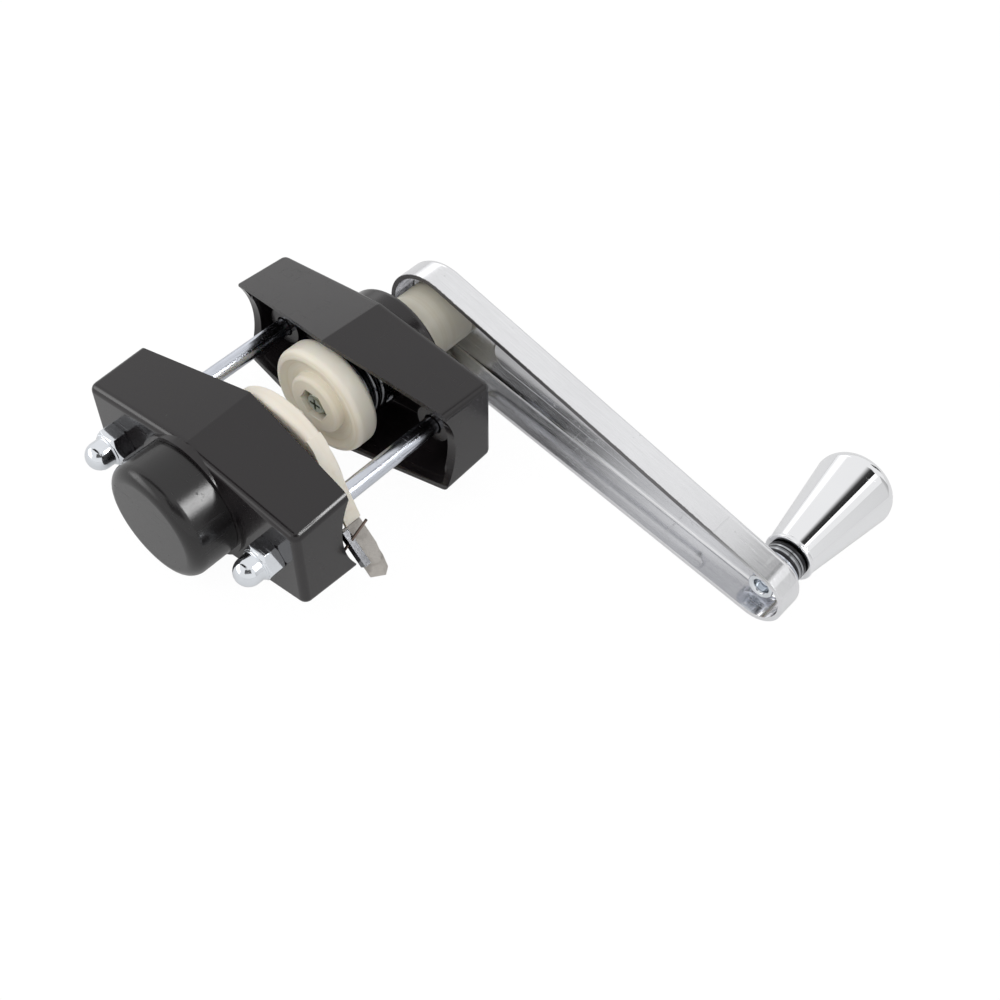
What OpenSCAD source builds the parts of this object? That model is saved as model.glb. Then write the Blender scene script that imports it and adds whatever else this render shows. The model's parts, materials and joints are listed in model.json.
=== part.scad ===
// Pole-mounted crank winch, lying on its side with its halves apart.
// +X runs along the pole, +Y along the crank axis towards the crank, +Z up.
// The origin is where the pole axis crosses the crank axis.

/* [Housings] */
// Half of a housing's length along the pole
half_length = 41; // [38:0.5:46]
// Distance from the middle to each outer face
face_y = 36.8; // [35:0.1:40]
// Distance from the middle to the rim at the end walls
rim_end_y = 18.1; // [16:0.1:20]
// Distance from the middle to the rim at the ridge
rim_ridge_y = 13.1; // [13:0.1:15]
// Half height of the outer face at its ends
face_end_h = 14.5; // [13:0.1:16]
// Half height of the outer face at the ridge
face_ridge_h = 19.5; // [19:0.1:23]
// Growth of each side wall between the outer face and the rim, per mm
draft = 0.054; // [0:0.001:0.08]
// Thickness of the outer face and the side walls
wall = 2.6; // [2:0.1:3.2]
// Thickness of the end walls
end_wall = 3; // [2.4:0.1:4]
// Radius of the rounded outer edges
edge_r = 2.5; // [1.5:0.1:3]
// Deepest point of the pole seat, from the middle
seat_y = 21.7; // [20:0.1:24]
// Radius of the pole seat's hollow
seat_r = 26; // [20:0.5:32]
// Depth of the step inside the rim
lip_depth = 2.4; // [1:0.1:4]
// Width of the step inside the rim
lip_step = 0.7; // [0.4:0.1:1.2]

/* [Clamp bolts] */
// Distance of each bolt's axis from the housing's end face
bolt_inset = 11; // [9:0.5:12]
// Diameter of the bolt's plain shank
shank_d = 5.35; // [5:0.05:5.8]
// Diameter over the bolt's thread
thread_d = 5.9; // [5.85:0.01:5.95]
// Width across flats of the bolt head and the cap nut
hex_af = 10; // [9:0.1:11]
// Height of the bolt head
head_h = 4; // [3:0.1:5]
// Length of the bolt beyond the front face
bolt_past = 3.5; // [2:0.1:5]
// Height of the cap nut's hexagon
nut_hex_h = 5; // [4:0.1:6]
// Height of the whole cap nut
nut_h = 12; // [11:0.1:13]
// Diameter of the cap nut's dome
nut_dome_d = 9.5; // [8.6:0.1:9.8]
// Diameter of the bolt bosses inside the housings
boss_d = 11.5; // [10:0.1:12]
// Height of the bolt bosses above the inner face
boss_h = 10; // [8:0.5:11]

/* [Front cap and bearing] */
// Radius of the round front cap
cap_r = 17.8; // [16:0.1:18]
// Height of the cap above its pad
cap_h = 14.2; // [12:0.1:18]
// Radius of the cap's rounded edge
cap_edge_r = 4; // [2:0.1:5]
// Thickness of the cap's skin
cap_wall = 2.2; // [1.6:0.1:3]
// How far the pad stands out of the front face
pad_h = 0.9; // [0.6:0.1:1.5]
// How far the pad is wider than the cap
pad_step = 1.4; // [0.8:0.1:1.6]
// Radius of the front spool's journal
journal_r = 5; // [4:0.1:5.5]
// Wall of the front bearing bush
front_bush_wall = 2; // [1.5:0.1:2.5]

/* [Cord guide] */
// Radius of the guide's round plate
guide_r = 21.35; // [20:0.05:22]
// Offset of the guide's round plate along the pole
guide_x = 7.3; // [6:0.1:8]
// Offset of the guide's round plate downwards
guide_drop = 1; // [0:0.1:2]
// Distance from the middle to the guide's rear face
guide_y = 8; // [7:0.1:9]
// Thickness of the guide's round plate
guide_t = 4.8; // [4:0.1:5]
// Radius of the front spool that turns in the guide
front_spool_r = 10.1; // [9:0.1:11]
// Wall of the guide's sleeve
sleeve_wall = 3.2; // [2:0.1:3.5]
// Distance of the tail's cut end from the housing's end face
tail_inset = 3.5; // [3:0.1:4.5]
// Place of the tail's cut end, upwards
tail_z = -1.5; // [-3:0.1:0]
// Thickness of the tail
tail_t = 1.2; // [0.8:0.1:1.5]
// Width of the tail at its cut end
tail_w = 5.2; // [4:0.1:5.5]
// Length of the folded cord tab past the tail
tab_length = 15; // [10:0.5:18]

/* [Rear spool and brake] */
// Radius of the rear spool
spool_r = 17; // [15:0.1:17.5]
// Distance from the middle to the front of the rear spool's hub ring
spool_y = 7; // [6.8:0.1:8]
// Width of the rear spool along the crank axis
spool_w = 9.2; // [8:0.1:10]
// Radius of the rear spool's hub ring
hub_ring_r = 9.4; // [8.5:0.1:10]
// Radius of the brake drum
drum_r = 9.6; // [9:0.1:10]
// Diameter of the brake spring's wire
wire_d = 2.5; // [2:0.1:2.6]
// Turns of the brake spring
spring_turns = 3.1; // [2.6:0.1:3.3]
// Distance between the brake spring's turns
spring_pitch = 2.65; // [2.61:0.01:2.8]

/* [Crank] */
// Radius of the drive shaft
shaft_r = 6; // [5.5:0.1:6.5]
// Width across flats of the shaft's hexagons
shaft_af = 9; // [8:0.1:9.4]
// Radius of the rear boss
rear_boss_r = 18.4; // [17:0.1:19]
// Height of the rear boss
rear_boss_h = 5.2; // [4:0.1:6]
// Radius of the crank hub
hub_r = 10.7; // [9.5:0.1:12]
// Distance from the middle to the arm's open rim
arm_rim_y = 54.3; // [52:0.1:58]
// Depth of the arm's channel
arm_depth = 10.2; // [8:0.1:12]
// Thickness of the arm's sheet
sheet_t = 1.4; // [1:0.1:1.6]
// Outer radius of the arm's end at the hub
arm_r1 = 15.3; // [14:0.1:17]
// Outer radius of the arm's end at the knob
arm_r2 = 9.4; // [8.8:0.1:11]
// Distance between the hub axis and the knob axis
arm_length = 125; // [110:1:140]
// Angle of the arm below the pole axis
arm_angle = 13; // [0:1:30]
// Radius of the bend between the arm's web and its sides
bend_r = 2.4; // [2:0.1:3]
// Height of the rib pressed into the arm's web
rib_h = 1.3; // [0.8:0.1:1.8]

/* [Knob] */
// Gap between the arm's web and the knob
knob_gap = 6.8; // [6:0.1:9]
// Length of the knob
knob_length = 39.5; // [36:0.5:44]
// Radius of the knob at the arm
knob_r1 = 7.9; // [7.5:0.1:8.4]
// Radius of the knob at its outer end
knob_r2 = 12.45; // [11:0.1:14]
// Radius of the knob's pin
pin_r = 4; // [3.6:0.1:4.2]

/* [Hidden] */
$fn = 96;

// Clearances: running for what turns, slip for what is only put together
running = 0.05;
slip = 0.2;
seat_gap = 0.3;
eps = 0.01;
far = 200;

inner_y = face_y - wall;
hex_r = hex_af / 2 / cos(30);
bush_r = shaft_r + running + 3;
boss_end_y = face_y + rear_boss_h;
spool_back_y = spool_y + spool_w;
drum_y = spool_back_y + seat_gap;
spring_r = drum_r + seat_gap + wire_d / 2;
spring_y = drum_y + wire_d / 2 + 0.2;
spring_rise = spring_turns * spring_pitch;
drum_h = spring_rise + wire_d + 0.4;
washer_y = drum_y + drum_h + running;
washer_t = 1.2;
bush_y = washer_y + washer_t + running;
bush_flange_t = 1.6;
hub_y = boss_end_y + seat_gap;
web_y = arm_rim_y + arm_depth;
web_in_y = web_y - sheet_t;
knob_y = web_y + knob_gap;
knob_x = arm_length * cos(arm_angle);
knob_z = -arm_length * sin(arm_angle);
front_bush_r = journal_r + running + front_bush_wall;
guide_front_y = guide_y + guide_t;
sleeve_r = front_spool_r + running;
collar_r = sleeve_r - slip;
bolt_x = half_length - bolt_inset;
tail_x = half_length - tail_inset;
bush_len = 8;
bush_in_y = inner_y - bush_len;
tail_far = sqrt(pow(tail_x - guide_x, 2) + pow(tail_z + guide_drop, 2));
tail_length = sqrt(tail_far * tail_far - guide_r * guide_r);
tail_a = acos(guide_r / tail_far) + atan2(tail_z + guide_drop, tail_x - guide_x);
tail_front_y = rim_end_y - 1.1;

// Turns an outline drawn as radius against distance about the Y axis
module revolve_y() {
    rotate([-90, 0, 0])
        rotate_extrude()
            children();
}

// A round bar along Y
module bar_y(r, y0, y1) {
    translate([0, y0, 0])
        rotate([-90, 0, 0])
            cylinder(r = r, h = y1 - y0);
}

// A hexagonal bar along Y
module hex_y(af, y0, y1) {
    translate([0, y0, 0])
        rotate([-90, 0, 0])
            cylinder(r = af / 2 / cos(30), h = y1 - y0, $fn = 6);
}

// Half outline of a disc from y0 to y1, rounded by e0 at y0 and e1 at y1
module disc_outline(r, y0, y1, e0, e1) {
    translate([0, y0 + e0])
        square([r, y1 - y0 - e0 - e1]);
    translate([0, y0])
        square([r - max(e0, e1), y1 - y0]);
    if (e0 > 0)
        translate([r - e0, y0 + e0])
            circle(r = e0, $fn = 32);
    if (e0 > 0)
        translate([0, y0])
            square([r - e0, 2 * e0]);
    if (e1 > 0)
        translate([r - e1, y1 - e1])
            circle(r = e1, $fn = 32);
    if (e1 > 0)
        translate([0, y1 - 2 * e1])
            square([r - e1, 2 * e1]);
}

// Moves a part onto the knob's axis
module at_knob() {
    translate([knob_x, 0, knob_z])
        children();
}

// Housings. Both are drawn on the +Y side and the front one is mirrored.

crease_w = 0.5;
open_y = 8;

// Solid six-sided block with rounded face edges, open side at open_y
module six_sided(length, end_h, ridge_h, top_y, r) {
    grow = draft * (top_y - open_y);
    rotate([-90, 0, 0])
        hull() {
            for (sx = [-1, 1], sz = [-1, 1]) {
                translate([sx * (length - r), sz * (end_h - r), top_y - r])
                    sphere(r = r, $fn = 32);
                translate([sx * (length - r), sz * (end_h + grow - r), open_y])
                    cylinder(r = r, h = 1, $fn = 32);
            }
            for (sz = [-1, 1]) {
                translate([-crease_w / 2, sz * (ridge_h - r), top_y - r])
                    rotate([0, 90, 0])
                        cylinder(r = r, h = crease_w, $fn = 32);
                translate([-crease_w / 2, sz * (ridge_h + grow - 0.5) - 0.5, open_y])
                    cube([crease_w, 1, 1]);
            }
        }
}

// Everything on the open side of the rim, moved by offset towards the face
module beyond_rim(offset) {
    run = half_length + 10;
    slope = (rim_end_y - rim_ridge_y) / half_length;
    translate([0, 0, -half_length])
        linear_extrude(height = 2 * half_length)
            polygon([[-run, -far], [-run, rim_ridge_y + slope * run + offset],
                [0, rim_ridge_y + offset], [run, rim_ridge_y + slope * run + offset], [run, -far]]);
}

// Shell of a half housing, with the pole seat and the step inside the rim
module housing_shell() {
    slope = (face_ridge_h - face_end_h) / half_length;
    lean = wall * sqrt(1 + slope * slope);
    in_length = half_length - end_wall;
    in_end_h = face_end_h + slope * end_wall - lean;
    in_ridge_h = face_ridge_h - lean;
    difference() {
        six_sided(half_length, face_end_h, face_ridge_h, face_y, edge_r);
        six_sided(in_length, in_end_h, in_ridge_h, inner_y, 1.2);
        intersection() {
            six_sided(in_length + lip_step, in_end_h + lip_step, in_ridge_h + lip_step, inner_y, 1.2);
            beyond_rim(lip_depth);
        }
        beyond_rim(0);
        translate([-far, seat_y - seat_r, 0])
            rotate([0, 90, 0])
                cylinder(r = seat_r, h = 2 * far);
    }
}

// Bolt bosses that stand on the inner face
module bolt_bosses() {
    for (sx = [-1, 1])
        translate([sx * bolt_x, 0, 0])
            bar_y(boss_d / 2, inner_y - boss_h, inner_y + 1);
}

// Clearance holes for both bolts
module bolt_holes() {
    for (sx = [-1, 1])
        translate([sx * bolt_x, 0, 0])
            bar_y(thread_d / 2 + slip, 0, far);
}

module front_housing() {
    color("#3f3d3e")
        mirror([0, 1, 0])
            difference() {
                union() {
                    housing_shell();
                    bolt_bosses();
                    bar_y(cap_r + pad_step, inner_y + 1, face_y + pad_h);
                    bar_y(collar_r, bush_in_y, inner_y + 1);
                }
                bolt_holes();
                bar_y(front_bush_r, 0, far);
            }
}

module front_cap() {
    top = face_y + pad_h + cap_h;
    color("#454344")
        mirror([0, 1, 0])
            revolve_y()
                difference() {
                    disc_outline(cap_r, face_y + pad_h, top, 0, cap_edge_r);
                    disc_outline(cap_r - cap_wall, face_y, top - cap_wall, 0, cap_edge_r - cap_wall);
                }
}

front_flange_w = 1.6;
front_bush_y = face_y + pad_h + 2;

module front_bush() {
    color("#c9b27a")
        mirror([0, 1, 0])
            difference() {
                union() {
                    bar_y(front_bush_r, bush_in_y - eps, front_bush_y);
                    bar_y(front_bush_r + front_flange_w, bush_in_y - bush_flange_t, bush_in_y);
                }
                bar_y(journal_r + running, 0, far);
            }
}

clip_y = front_bush_y + 0.15;
clip_t = 1.2;
groove_d = 0.8;

// Nylon half spool that turns in the guide, with a hexagonal dog for the rear spool
module front_spool() {
    color("#e6dccb")
        difference() {
            union() {
                mirror([0, 1, 0]) {
                    bar_y(journal_r, guide_front_y - 1, clip_y + clip_t + 1.5);
                    bar_y(front_spool_r, guide_y, guide_front_y);
                    bar_y(hub_ring_r - 1.6, guide_y - 5, guide_y + 1);
                }
                hex_y(shaft_af - 2, -guide_y + 4, 1.5);
            }
            mirror([0, 1, 0])
                difference() {
                    bar_y(journal_r + 1, clip_y - 0.1, clip_y + clip_t + 0.1);
                    bar_y(journal_r - groove_d, clip_y - 1, clip_y + clip_t + 1);
                }
        }
}

module spool_clip() {
    color("#8d9094")
        mirror([0, 1, 0])
            difference() {
                bar_y(journal_r + 2.2, clip_y, clip_y + clip_t);
                bar_y(journal_r - groove_d + 0.03, 0, far);
                translate([-2.6, 0, -far])
                    cube([5.2, far, far]);
            }
}

// Tail plane: x runs down the tail, y along the crank axis, z out of the tail
module on_tail() {
    translate([guide_x + (guide_r - tail_t) * cos(tail_a), 0, -guide_drop + (guide_r - tail_t) * sin(tail_a)])
        rotate([0, 90 - tail_a, 0])
            children();
}

module cord_guide() {
    color("#e8dfce")
        difference() {
            union() {
                mirror([0, 1, 0]) {
                    translate([guide_x, 0, -guide_drop])
                        revolve_y()
                            disc_outline(guide_r, guide_y, guide_front_y, 0.8, 1.6);
                    bar_y(sleeve_r + sleeve_wall, guide_y + 1, inner_y - eps);
                }
                on_tail()
                    linear_extrude(height = tail_t)
                        polygon([[-3, -guide_y], [0, -guide_y], [tail_length, -tail_front_y + tail_w],
                            [tail_length, -tail_front_y], [0, -guide_front_y], [-3, -guide_front_y]]);
            }
            mirror([0, 1, 0])
                bar_y(sleeve_r, 0, far);
            mirror([0, 1, 0])
                translate([bolt_x, 0, 0])
                    bar_y(shank_d / 2 + 0.5, 0, far);
        }
}

tab_s = tail_length + 0.1;
tab_front_y = -tail_front_y - 1.8;
tab_back_y = tab_front_y + 6.4;
tab_t = 0.9;
tab_step = 4;
clip_len = 11;
clip_wall = 0.4;
clip_cover = 2;
pin_len = 11.5;
pin_below = 2.6;
cord_pin_r = 0.4;

// Axis of the thin pin that holds the tab's two layers
module on_cord_pin() {
    on_tail()
        translate([tab_s + 3.9, tab_front_y + 0.1, tail_t / 2])
            rotate([-33, -29, 0])
                translate([0, 0, -pin_below])
                    children();
}

module cord_pin_hole() {
    on_cord_pin()
        cylinder(r = cord_pin_r + running, h = pin_len);
}

// Outline of one layer of the tab in the tail's plane
module tab_outline(length) {
    polygon([[0, tab_front_y], [length, tab_front_y], [length + 2, tab_back_y - 2.6],
        [length + 0.6, tab_back_y - 0.7], [length - 3, tab_back_y], [0, tab_back_y]]);
}

module cord_tab() {
    color("#cfccc6")
        difference() {
            union()
                for (layer = [0, 1])
                    on_tail()
                        translate([tab_s, 0, -0.3 + layer * (tab_t - eps)])
                            linear_extrude(height = tab_t)
                                tab_outline(tab_length - tab_step * layer);
            cord_pin_hole();
        }
}

module cord_pin() {
    color("#7b6a60")
        on_cord_pin()
            cylinder(r = cord_pin_r, h = pin_len);
}

module cord_clip() {
    color("#3c3a3b")
        difference() {
            on_tail()
                translate([tab_s + 0.4, tab_front_y - clip_wall - running, -0.3 - clip_wall])
                    difference() {
                        cube([clip_len, clip_cover, 2 * tab_t + 2 * clip_wall]);
                        translate([-1, clip_wall, clip_wall - running])
                            cube([clip_len + 2, clip_cover, 2 * tab_t + 2 * running]);
                    }
            cord_pin_hole();
        }
}

module cap_nut() {
    bore_depth = nut_h - 2;
    dome_r = nut_dome_d / 2;
    color("#c8cbd0")
        mirror([0, 1, 0])
            difference() {
                union() {
                    intersection() {
                        hex_y(hex_af, face_y, face_y + nut_hex_h);
                        revolve_y()
                            polygon([[0, face_y], [hex_r - 0.5, face_y], [hex_r + 0.1, face_y + 0.5],
                                [hex_r + 0.1, face_y + nut_hex_h - 0.9],
                                [dome_r, face_y + nut_hex_h], [0, face_y + nut_hex_h]]);
                    }
                    bar_y(dome_r, face_y + nut_hex_h - 0.5, face_y + nut_h - dome_r);
                    translate([0, face_y + nut_h - dome_r, 0])
                        sphere(r = dome_r);
                }
                bar_y(thread_d / 2 + running, face_y - 1, face_y + bore_depth);
            }
}

module cap_nut_a() {
    translate([-bolt_x, 0, 0])
        cap_nut();
}

module cap_nut_b() {
    translate([bolt_x, 0, 0])
        cap_nut();
}

// Post on the inner face that anchors the brake spring's tang
anchor_a = -35;
anchor_h = 3.5;

module at_anchor() {
    rotate([0, -anchor_a, 0])
        translate([spring_r, 0, wire_d])
            children();
}

module rear_housing() {
    color("#3f3d3e")
        difference() {
            union() {
                housing_shell();
                bolt_bosses();
                revolve_y()
                    disc_outline(rear_boss_r, inner_y + 1, boss_end_y, 0, 2);
                bar_y(bush_r + 3, bush_y + bush_flange_t, inner_y + 1);
                at_anchor()
                    bar_y(wire_d / 2 + 1.6, inner_y - anchor_h, inner_y + 1);
            }
            bolt_holes();
            for (sx = [-1, 1])
                translate([sx * bolt_x, 0, 0])
                    hex_y(hex_af + 2 * slip, face_y - head_h, far);
            bar_y(bush_r, 0, far);
            at_anchor()
                bar_y(wire_d / 2 + 0.1, 0, inner_y - 1);
        }
}

module clamp_bolt() {
    thread_length = 14;
    color("#b9bec6")
        union() {
            hex_y(hex_af, face_y - head_h, face_y);
            bar_y(shank_d / 2, -face_y - bolt_past + thread_length, face_y - head_h + eps);
            bar_y(thread_d / 2, -face_y - bolt_past, -face_y - bolt_past + thread_length + eps);
        }
}

module bolt_a() {
    translate([-bolt_x, 0, 0])
        clamp_bolt();
}

module bolt_b() {
    translate([bolt_x, 0, 0])
        clamp_bolt();
}

module rear_bush() {
    color("#2c2b2c")
        difference() {
            union() {
                bar_y(bush_r, bush_y, boss_end_y);
                bar_y(spring_r - wire_d / 2 - seat_gap, bush_y, bush_y + bush_flange_t);
            }
            bar_y(shaft_r + running, 0, far);
        }
}

// Wrap spring: a tube swept along a helix, then bent along the crank axis into its anchor
spring_sides = 12;
turn_steps = 24;
coil_steps = round(spring_turns * turn_steps);
bend_count = 5;
tang_end_y = inner_y - 1.3;

// One ring of the wire: centre at radius r, turned to angle a, tipped by tip towards +Y
function wire_ring(a, y, along, tip) =
    [for (k = [0 : spring_sides - 1])
        let (b = 360 * k / spring_sides, out = spring_r + wire_d / 2 * cos(b),
            side = along - wire_d / 2 * sin(b) * sin(tip))
            [out * cos(a) - side * sin(a), y + wire_d / 2 * sin(b) * cos(tip),
                out * sin(a) + side * cos(a)]];

function coil_ring(i) =
    wire_ring(anchor_a - 360 * spring_turns * (1 - i / coil_steps), spring_y + spring_rise * i / coil_steps, 0, 0);

function tang_ring(i) =
    let (tip = 90 * i / bend_count)
        wire_ring(anchor_a, spring_y + spring_rise + wire_d * (1 - cos(tip)), wire_d * sin(tip), tip);

module brake_spring() {
    rings = concat([for (i = [0 : coil_steps]) coil_ring(i)], [for (i = [1 : bend_count]) tang_ring(i)],
        [wire_ring(anchor_a, tang_end_y, wire_d, 90)]);
    points = [for (ring = rings) each ring];
    n = spring_sides;
    last = len(rings) - 1;
    lower = [for (i = [0 : last - 1], k = [0 : n - 1])
        [i * n + k, (i + 1) * n + (k + 1) % n, i * n + (k + 1) % n]];
    upper = [for (i = [0 : last - 1], k = [0 : n - 1])
        [i * n + k, (i + 1) * n + k, (i + 1) * n + (k + 1) % n]];
    ends = [[for (k = [0 : n - 1]) k], [for (k = [0 : n - 1]) last * n + n - 1 - k]];
    color("#2f3033")
        polyhedron(points = points, faces = concat(lower, upper, ends), convexity = 6);
}

module thrust_washer() {
    color("#9a9da1")
        difference() {
            bar_y(spring_r - wire_d / 2 - seat_gap, washer_y, washer_y + washer_t);
            bar_y(shaft_r + running, 0, far);
        }
}

module drive_shaft() {
    color("#9aa08f")
        difference() {
            union() {
                hex_y(shaft_af, spool_y + 2.6, drum_y + eps);
                bar_y(shaft_r, drum_y, hub_y + 1);
                hex_y(shaft_af, hub_y, web_y - slip);
            }
            bar_y(2, 0, spool_y + 12);
            bar_y(arm_screw_r + 0.1, web_y - arm_depth - 2, far);
        }
}

module brake_drum() {
    color("#232325")
        difference() {
            revolve_y()
                disc_outline(drum_r, drum_y, drum_y + drum_h, 0.3, 0.3);
            bar_y(shaft_r, 0, far);
        }
}

module rear_spool() {
    rim_e = 2.4;
    back_e = 1.8;
    dish_d = 2.1;
    dish_half_w = 4.6;
    dish_r = (dish_half_w * dish_half_w + dish_d * dish_d) / 2 / dish_d;
    dish_x = spool_r - rim_e - dish_half_w;
    color("#e9e0cf")
        difference() {
            revolve_y()
                difference() {
                    union() {
                        disc_outline(spool_r, spool_y + 1, spool_back_y, rim_e, back_e);
                        disc_outline(hub_ring_r, spool_y, spool_back_y, 1.4, 0);
                    }
                    difference() {
                        translate([dish_x, spool_y + 1 + dish_d - dish_r])
                            circle(r = dish_r);
                        disc_outline(hub_ring_r, spool_y, spool_back_y, 1.4, 0);
                    }
                }
            hex_y(shaft_af + slip, 0, far);
        }
}

module spool_screw() {
    head_r = 3.3;
    color("#8f9586")
        difference() {
            union() {
                revolve_y()
                    disc_outline(head_r, spool_y + 0.6, spool_y + 2.6, 0.9, 0);
                bar_y(1.9, spool_y + 2, spool_y + 10);
            }
            for (a = [0, 90])
                rotate([0, a, 0])
                    translate([-2, spool_y, -0.4])
                        cube([4, 1.5, 0.8]);
        }
}

module crank_hub() {
    color("#d8d0bd")
        difference() {
            revolve_y()
                disc_outline(hub_r, hub_y, web_in_y, 0.6, 1.6);
            hex_y(shaft_af + slip / 2, 0, far);
            bar_y(shaft_r + slip / 2, 0, hub_y + 1);
        }
}

// Tapered bar with round ends along +X, from y0 to y1
module flat_slot(r1, r2, length, y0, y1) {
    hull() {
        bar_y(r1, y0, y1);
        translate([length, 0, 0])
            bar_y(r2, y0, y1);
    }
}

// Tapered bar from y0 to y1 whose edge at y1 is rounded by e
module soft_slot(r1, r2, length, y0, y1, e) {
    hull() {
        revolve_y($fn = 64)
            disc_outline(r1, y0, y1, 0, e);
        translate([length, 0, 0])
            revolve_y($fn = 48)
                disc_outline(r2, y0, y1, 0, e);
    }
}

rib_r1 = 5.6;
rib_r2 = 3.4;
rib_start = 25;
rib_length = arm_length - rib_start - 22;
rib_e = 1.1;

module crank_arm() {
    color("#d3d6da")
        difference() {
            rotate([0, arm_angle, 0])
                difference() {
                    union() {
                        difference() {
                            soft_slot(arm_r1, arm_r2, arm_length, arm_rim_y, web_y, bend_r);
                            soft_slot(arm_r1 - sheet_t, arm_r2 - sheet_t, arm_length, 0, web_in_y, bend_r - sheet_t);
                        }
                        translate([rib_start, 0, 0])
                            mirror([0, 1, 0])
                                soft_slot(rib_r1, rib_r2, rib_length, -web_in_y - eps, -web_in_y + rib_h, rib_e);
                    }
                    translate([rib_start, 0, 0])
                        flat_slot(rib_r1 - sheet_t, rib_r2 - sheet_t, rib_length, web_y - rib_h, far);
                    translate([arm_length, 0, 0])
                        bar_y(pin_r + slip / 2, 0, far);
                }
            hex_y(shaft_af + slip / 2, 0, far);
        }
}

arm_washer_r = 9;
arm_washer_y = web_y + 1.5;
arm_screw_r = 2.4;
arm_head_h = 4;
arm_end_y = arm_washer_y + arm_head_h;
arm_head_edge = 0.7;

module arm_washer() {
    color("#a9adb3")
        difference() {
            bar_y(arm_washer_r, web_y, arm_washer_y);
            bar_y(arm_screw_r + seat_gap, 0, far);
        }
}

module arm_screw() {
    color("#b5b9c0")
        union() {
            intersection() {
                hex_y(hex_af, arm_washer_y, arm_end_y);
                revolve_y()
                    polygon([[0, arm_washer_y], [hex_r + 0.1, arm_washer_y],
                        [hex_r + 0.1, arm_end_y - arm_head_edge], [hex_r - 1, arm_end_y], [0, arm_end_y]]);
            }
            bar_y(arm_screw_r, web_y - arm_depth, arm_end_y - 2);
        }
}

pin_end_y = knob_y + knob_length - 9;
groove_y = pin_end_y - 4;
collar_len = knob_gap - 1.4;

// Hollow rivet whose rolled head sits inside the channel and whose shank carries the knob
module knob_pin() {
    head_r = 5.6;
    head_t = 1.5;
    color("#aeb2b7")
        at_knob()
            difference() {
                union() {
                    revolve_y()
                        disc_outline(head_r, web_in_y - head_t, web_in_y, 0.7, 0);
                    bar_y(pin_r, web_in_y - eps, pin_end_y);
                }
                bar_y(pin_r - 1, 0, web_in_y + 7);
                revolve_y()
                    translate([pin_r - 0.5, groove_y])
                        square([2, 1.6]);
            }
}

module knob_washer() {
    color("#6d7074")
        at_knob()
            difference() {
                bar_y(knob_r1 - 0.4, web_y, web_y + 0.9);
                bar_y(pin_r + slip / 2, 0, far);
            }
}

module knob_collar() {
    color("#4a4c4f")
        at_knob()
            difference() {
                bar_y(knob_r1 - 1.5, web_y + 0.9, web_y + 0.9 + collar_len);
                bar_y(pin_r + slip / 2, 0, far);
            }
}

knob_bore_r = pin_r + running + 1.5;
knob_bore_end = pin_end_y + 0.6;

module knob() {
    end_y = knob_y + knob_length;
    dome_r = 6;
    color("#d9dcdf")
        at_knob()
            difference() {
                revolve_y()
                    union() {
                        translate([0, knob_y])
                            square([knob_r1 - 0.6, 2]);
                        translate([knob_r1 - 0.6, knob_y + 0.6])
                            circle(r = 0.6);
                        polygon([[0, knob_y + 0.6], [knob_r1, knob_y + 0.6], [knob_r2, end_y - dome_r],
                            [0, end_y - dome_r]]);
                        translate([knob_r2 - dome_r, end_y - dome_r])
                            circle(r = dome_r);
                        translate([0, end_y - 2 * dome_r])
                            square([knob_r2 - dome_r, 2 * dome_r]);
                    }
                bar_y(knob_bore_r, 0, knob_bore_end);
            }
}

module knob_bush() {
    color("#e4dccb")
        at_knob()
            difference() {
                bar_y(knob_bore_r, knob_y + 0.1, pin_end_y);
                difference() {
                    bar_y(pin_r + running, 0, far);
                    difference() {
                        bar_y(pin_r + 1, groove_y + 0.2, groove_y + 1.4);
                        bar_y(pin_r - 0.4, 0, far);
                    }
                }
            }
}

front_housing();
front_cap();
front_bush();
front_spool();
spool_clip();
cord_guide();
cord_tab();
cord_pin();
cord_clip();
cap_nut_a();
cap_nut_b();
rear_housing();
bolt_a();
bolt_b();
rear_bush();
brake_spring();
thrust_washer();
drive_shaft();
brake_drum();
rear_spool();
spool_screw();
crank_hub();
crank_arm();
arm_washer();
arm_screw();
knob_pin();
knob_washer();
knob_collar();
knob();
knob_bush();
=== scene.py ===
"""Looks of a pole-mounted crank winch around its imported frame.

Metres, +Z up, +X along the pole, +Y along the crank axis towards the crank.
"""
import json
import math

import bmesh
import bpy
from mathutils import Matrix, Vector


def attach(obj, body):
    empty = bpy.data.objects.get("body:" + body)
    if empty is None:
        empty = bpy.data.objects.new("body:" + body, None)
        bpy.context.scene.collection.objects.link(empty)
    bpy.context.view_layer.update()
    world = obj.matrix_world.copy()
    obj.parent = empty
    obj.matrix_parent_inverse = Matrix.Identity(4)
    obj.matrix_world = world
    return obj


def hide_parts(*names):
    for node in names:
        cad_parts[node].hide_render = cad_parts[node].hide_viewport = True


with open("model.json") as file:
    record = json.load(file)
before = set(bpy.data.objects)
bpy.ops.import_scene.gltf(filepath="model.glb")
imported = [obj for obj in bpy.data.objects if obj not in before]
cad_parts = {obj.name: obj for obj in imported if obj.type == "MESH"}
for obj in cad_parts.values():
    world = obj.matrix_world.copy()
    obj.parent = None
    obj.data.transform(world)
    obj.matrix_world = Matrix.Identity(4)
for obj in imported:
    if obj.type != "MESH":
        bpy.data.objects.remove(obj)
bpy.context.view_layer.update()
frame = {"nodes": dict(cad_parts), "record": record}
scene = bpy.context.scene
MM = 0.001

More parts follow.
